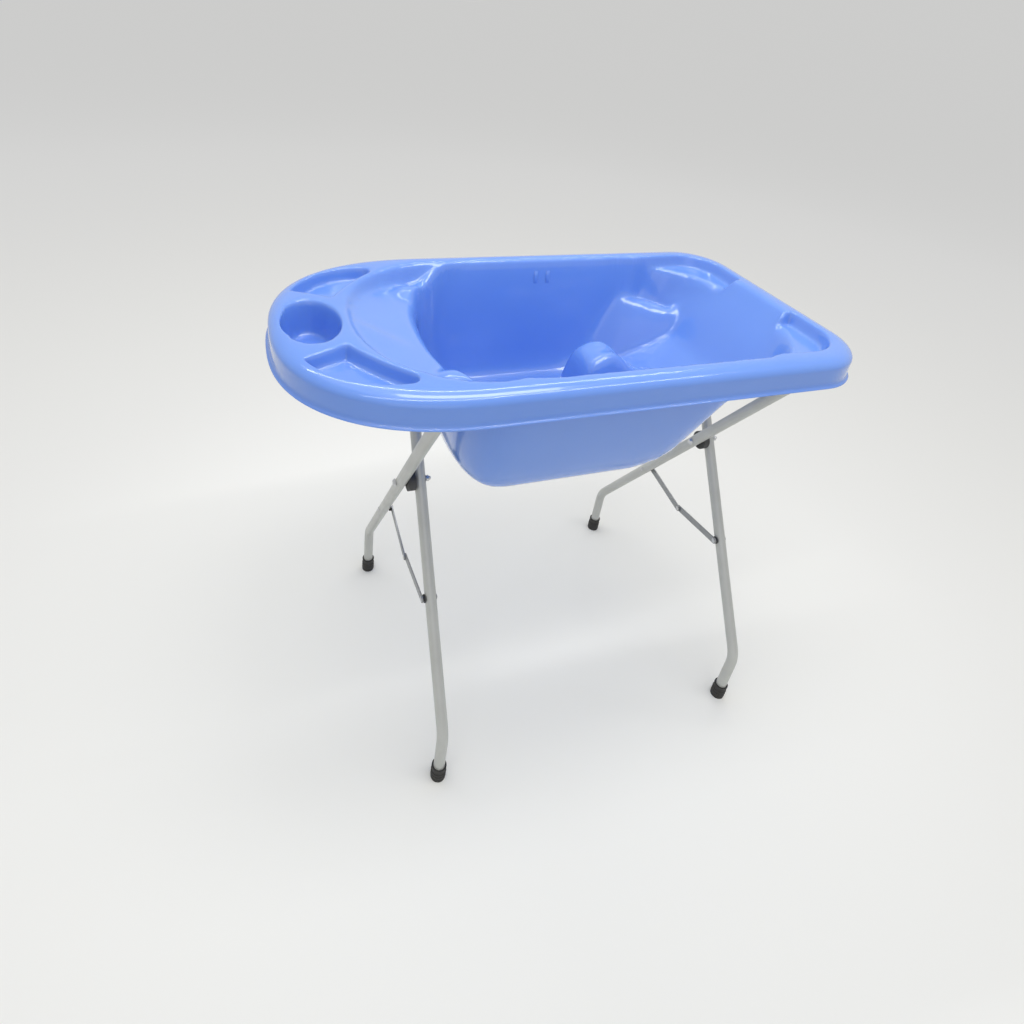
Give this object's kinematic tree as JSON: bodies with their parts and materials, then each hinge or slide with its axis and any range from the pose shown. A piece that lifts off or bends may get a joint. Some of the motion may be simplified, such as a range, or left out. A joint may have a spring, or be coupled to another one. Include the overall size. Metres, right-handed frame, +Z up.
{
  "type": "baby bathtub",
  "caption": "Moulded baby bathtub with cup recess, soap trays and crotch post, resting on a folding crossed-tube stand with folding braces.",
  "frame": {"origin": "on the floor under the middle of the tub's plan", "axes": "+X along the tub from the cup end to the backrest, +Y to the rear, +Z up"},
  "size_m": [0.984, 0.57, 0.876],
  "materials": {
    "tub_plastic": "gloss blue moulded polypropylene",
    "plug_rubber": "soft pale grey rubber",
    "tube_paint": "silver-grey powder coat",
    "foot_rubber": "black ribbed rubber",
    "spacer_plastic": "dark grey plastic",
    "link_steel": "zinc-plated strip",
    "fastener_steel": "zinc-plated steel"
  },
  "bodies": {
    "rear_frame": {"rear_frame_leg_left": "tube_paint", "rear_frame_leg_right": "tube_paint", "rear_frame_top_bar": "tube_paint", "rear_frame_bar_rivets": "fastener_steel", "rubber_foot_rear_left": "foot_rubber", "rubber_foot_rear_right": "foot_rubber", "pivot_bolt_left": "fastener_steel", "pivot_nut_left": "fastener_steel", "pivot_spacer_left": "spacer_plastic", "brace_boss_rear_left": "spacer_plastic", "brace_rivet_rear_left": "fastener_steel", "pivot_bolt_right": "fastener_steel", "pivot_nut_right": "fastener_steel", "pivot_spacer_right": "spacer_plastic", "brace_boss_rear_right": "spacer_plastic", "brace_rivet_rear_right": "fastener_steel"},
    "front_frame": {"front_frame_leg_left": "tube_paint", "front_frame_leg_right": "tube_paint", "front_frame_top_bar": "tube_paint", "front_frame_bar_rivets": "fastener_steel", "rubber_foot_front_left": "foot_rubber", "rubber_foot_front_right": "foot_rubber", "brace_boss_front_left": "spacer_plastic", "brace_stud_front_left": "fastener_steel", "brace_boss_front_right": "spacer_plastic", "brace_stud_front_right": "fastener_steel"},
    "tub": {"tub_shell": "tub_plastic"},
    "plug": {"drain_plug": "plug_rubber"},
    "brace_rear_left": {"brace_link_rear_left": "link_steel", "brace_knuckle_rivet_left": "fastener_steel"},
    "brace_front_left": {"brace_link_front_left": "link_steel", "brace_rivet_front_left": "fastener_steel"},
    "brace_rear_right": {"brace_link_rear_right": "link_steel", "brace_knuckle_rivet_right": "fastener_steel"},
    "brace_front_right": {"brace_link_front_right": "link_steel", "brace_rivet_front_right": "fastener_steel"}
  },
  "joints": [
    {"name": "frame_fold", "type": "hinge", "parent": "rear_frame", "child": "front_frame", "pos_m": [0, 0, 0.52276], "axis": [1, 0, 0], "range_deg": [0, 55]},
    {"name": "tub_lift", "type": "slide", "parent": "rear_frame", "child": "tub", "axis": [0, 0, 1], "range_m": [0, 1.85]},
    {"name": "plug_pull", "type": "slide", "parent": "tub", "child": "plug", "axis": [0, 0, 1], "range_m": [0, 0.04]},
    {"name": "brace_rear_pin_left", "type": "hinge", "parent": "rear_frame", "child": "brace_rear_left", "pos_m": [-0.2455, 0.12564, 0.34], "axis": [1, 0, 0], "range_deg": [0, 97.2]},
    {"name": "brace_knuckle_left", "type": "hinge", "parent": "brace_rear_left", "child": "brace_front_left", "pos_m": [-0.2455, 0, 0.32], "axis": [1, 0, 0], "range_deg": [-138.5, 0]},
    {"name": "brace_rear_pin_right", "type": "hinge", "parent": "rear_frame", "child": "brace_rear_right", "pos_m": [0.4185, 0.12564, 0.34], "axis": [1, 0, 0], "range_deg": [0, 97.2]},
    {"name": "brace_knuckle_right", "type": "hinge", "parent": "brace_rear_right", "child": "brace_front_right", "pos_m": [0.4185, 0, 0.32], "axis": [1, 0, 0], "range_deg": [-138.5, 0]}
  ],
  "couplings": [
    {"joint": "tub_lift", "follows": "frame_fold", "m_per_rad": 1.9},
    {"joint": "brace_rear_pin_left", "follows": "frame_fold", "ratio": 1.75},
    {"joint": "brace_knuckle_left", "follows": "frame_fold", "ratio": -2.5},
    {"joint": "brace_rear_pin_right", "follows": "frame_fold", "ratio": 1.75},
    {"joint": "brace_knuckle_right", "follows": "frame_fold", "ratio": -2.5}
  ]
}
